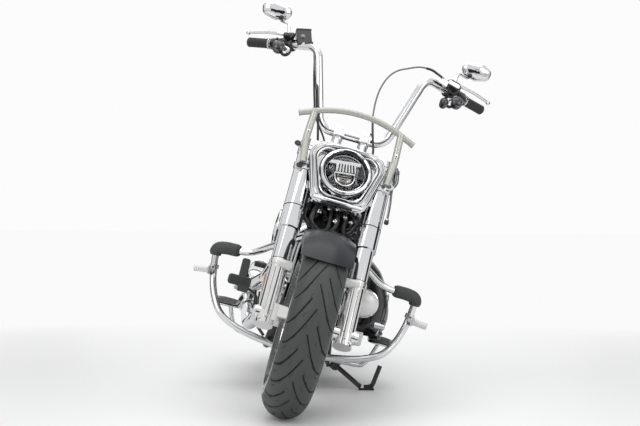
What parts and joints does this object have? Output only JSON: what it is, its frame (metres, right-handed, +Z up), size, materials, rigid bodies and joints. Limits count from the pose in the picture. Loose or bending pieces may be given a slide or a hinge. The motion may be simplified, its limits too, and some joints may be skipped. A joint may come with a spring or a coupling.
{
  "type": "cruiser motorcycle",
  "caption": "Cruiser motorcycle leaning on its side stand, with steering, freely turning wheels, tall bars, engine guard and folding stand.",
  "frame": {"origin": "on the ground at the bottom centre of the bounding box, bike parked on its side stand", "axes": "+Z up; the bike faces -Y, and +X is the rider's left, the side to which it leans"},
  "size_m": [1.1515, 2.3885, 1.511],
  "materials": {
    "chrome": "polished",
    "fork_tube": "hard chromed",
    "aluminium": "polished casting",
    "cream_metal": "satin",
    "disc_steel": "ground",
    "black_metal": "satin powder coat",
    "blue_black_paint": "gloss",
    "tyre_rubber": "matte",
    "rubber": "matte",
    "leather": "satin",
    "glass": "clear",
    "red_lens": "gloss",
    "black_plastic": "gloss"
  },
  "bodies": {
    "chassis": {"air_cleaner": "chrome", "brake_pedal": "rubber", "cam_cover": "chrome", "crankcase": "black_metal", "cylinders": "black_metal", "drive_belt": "rubber", "engine_guard": "chrome", "exhausts": "chrome", "fender_struts": "chrome", "floorboards": "rubber", "frame": "black_metal", "fuel_tank": "blue_black_paint", "guard_pads": "rubber", "highway_pegs": "rubber", "horn_cover": "chrome", "number_plate": "black_metal", "oil_cooler": "black_metal", "oil_tank": "black_metal", "passenger_pegs": "rubber", "pillion_seat": "leather", "primary_cover": "black_metal", "pushrod_tubes": "chrome", "rear_fender": "blue_black_paint", "rear_signals": "black_plastic", "rider_seat": "leather", "shifter": "aluminium", "swingarm": "chrome", "tail_lamp": "red_lens", "tank_console": "chrome"},
    "steering": {"fork_tubes": "fork_tube", "fork_sliders": "aluminium", "front_axle": "chrome", "fork_covers": "chrome", "triple_clamps": "aluminium", "handlebar": "chrome", "grips": "rubber", "hand_controls": "black_metal", "hand_levers": "chrome", "mirrors": "chrome", "front_signals": "black_plastic", "control_cables": "rubber", "headlamp_nacelle": "chrome", "headlamp_lens": "glass", "screen_brace": "cream_metal", "brace_docks": "black_metal", "front_fender": "blue_black_paint", "fender_brackets": "chrome", "front_caliper": "aluminium"},
    "front_wheel": {"front_tyre": "tyre_rubber", "front_rim": "aluminium", "front_brake_disc": "disc_steel"},
    "rear_wheel": {"rear_tyre": "tyre_rubber", "rear_rim": "aluminium", "rear_pulley": "aluminium", "rear_brake_disc": "disc_steel"},
    "side_stand": {"side_stand": "black_metal"}
  },
  "joints": [
    {"name": "steering_turn", "type": "hinge", "parent": "chassis", "child": "steering", "pos_m": [-0.14714, -0.8067, 0.28192], "axis": [0.2095, 0.4987, 0.8411], "range_deg": [-35.5, 28.5]},
    {"name": "front_wheel_spin", "type": "hinge", "parent": "steering", "child": "front_wheel", "pos_m": [-0.1341, -0.86936, 0.31583], "axis": [0.9611, 0.0533, -0.271], "continuous": true},
    {"name": "rear_wheel_spin", "type": "hinge", "parent": "chassis", "child": "rear_wheel", "pos_m": [-0.13837, 0.79552, 0.3195], "axis": [0.9703, 0.0004, -0.2419], "continuous": true},
    {"name": "side_stand_fold", "type": "hinge", "parent": "chassis", "child": "side_stand", "pos_m": [-0.02982, -0.06914, 0.09221], "axis": [0.5902, -0.1094, 0.7998], "range_deg": [0, 90]}
  ]
}
